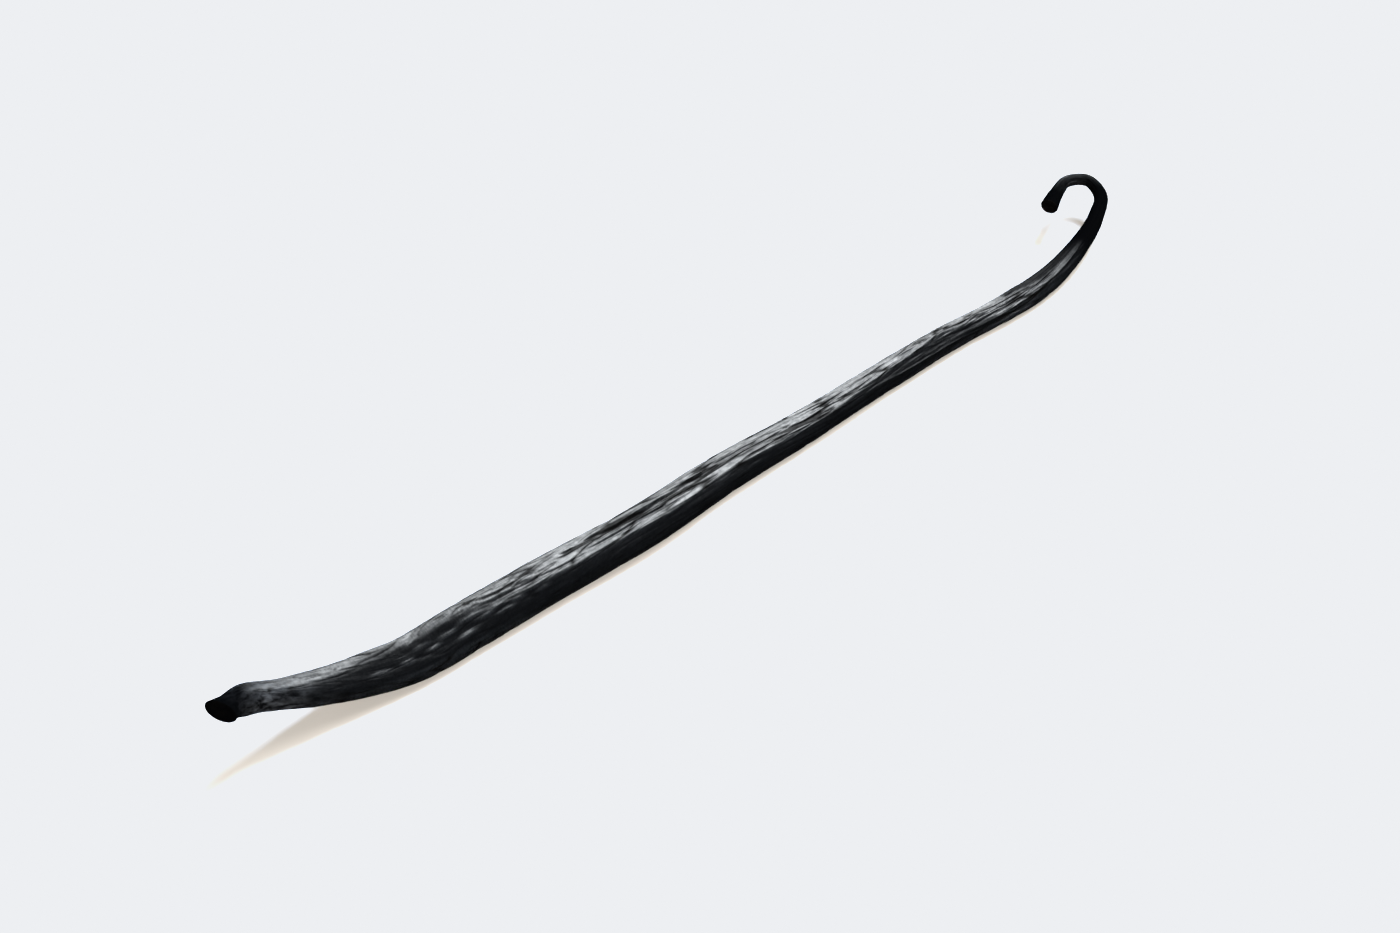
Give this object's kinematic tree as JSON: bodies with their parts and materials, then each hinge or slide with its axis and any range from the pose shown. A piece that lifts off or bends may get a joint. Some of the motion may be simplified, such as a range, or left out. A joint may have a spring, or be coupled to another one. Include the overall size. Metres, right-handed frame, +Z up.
{
  "type": "vanilla bean",
  "caption": "Cured vanilla pod, long and slender with deep lengthwise folds, a blunt lifted blossom end and a crooked stem end; lies on a surface as food or decor.",
  "frame": {"origin": "on the surface the pod lies on, below the middle of its bounding box", "axes": "+X along the pod from the blossom end to the stem end, +Y to the side the crook turns to, +Z up from the surface"},
  "size_m": [0.1654, 0.0168, 0.0137],
  "materials": {
    "pod_skin": "oily, near-black brown skin with a soft sheen on its folds"
  },
  "bodies": {
    "root": {"vanilla_pod": "pod_skin"}
  },
  "joints": []
}
